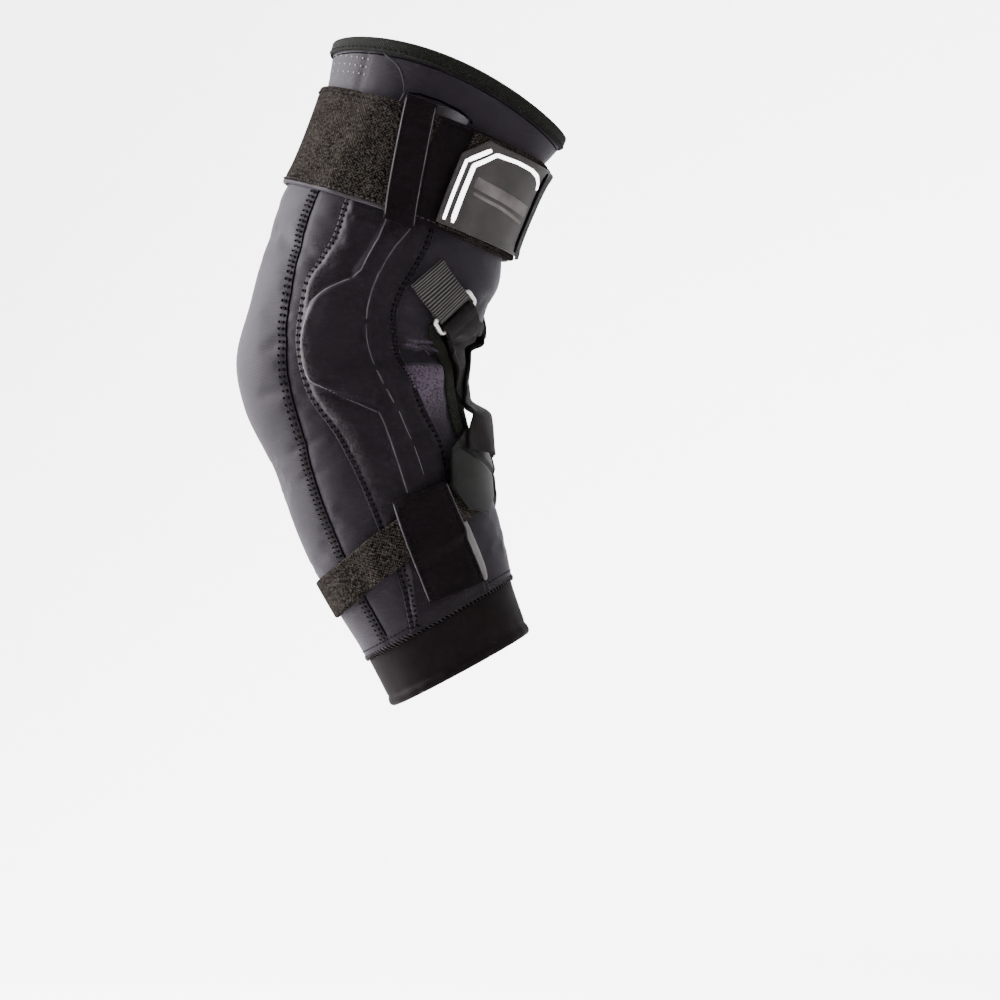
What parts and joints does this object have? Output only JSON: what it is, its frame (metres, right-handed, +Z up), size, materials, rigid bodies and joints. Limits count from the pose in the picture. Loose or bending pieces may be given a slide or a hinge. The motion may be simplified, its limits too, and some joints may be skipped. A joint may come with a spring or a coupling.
{
  "type": "elbow brace",
  "caption": "Worn elbow brace: bent padded sleeve with side hinge covers, a wide arm strap with a bare plate, and straps crossing the open crook.",
  "frame": {"origin": "centre of the elbow, on the centre line of the limb at the middle of its bend", "axes": "+Z up, +X out of the crook of the elbow, -Y to the outer side of the arm that carries the plate"},
  "size_m": [0.1451, 0.1096, 0.2904],
  "materials": {
    "neoprene": "fine jersey over foam, nearly black with a violet cast",
    "cover": "smooth padded cloth, slightly shiny",
    "loop_pile": "speckled loop pile, brown black",
    "tape": "ribbed binding tape",
    "knit": "smooth knit",
    "webbing": "ribbed elastic webbing",
    "plate": "dark grey, satin, with two plain pale stripes",
    "tab": "matte",
    "wire": "satin plated wire"
  },
  "bodies": {
    "root": {"sleeve": "neoprene", "top_binding": "tape", "window_binding": "tape", "bottom_cuff": "knit", "upper_strap": "loop_pile", "strap_keeper": "cover", "strap_end": "loop_pile", "label_plate": "plate", "forearm_strap": "loop_pile", "hinge_cover_lateral": "cover", "hinge_cover_medial": "cover", "webbing_lateral": "webbing", "webbing_medial": "webbing", "ring_lateral": "wire", "ring_medial": "wire", "strap_tab_lateral": "tab", "strap_tab_medial": "tab", "forearm_patch_lateral": "cover", "forearm_patch_medial": "cover", "cross_strap_a": "webbing", "cross_strap_b": "webbing"}
  },
  "joints": []
}
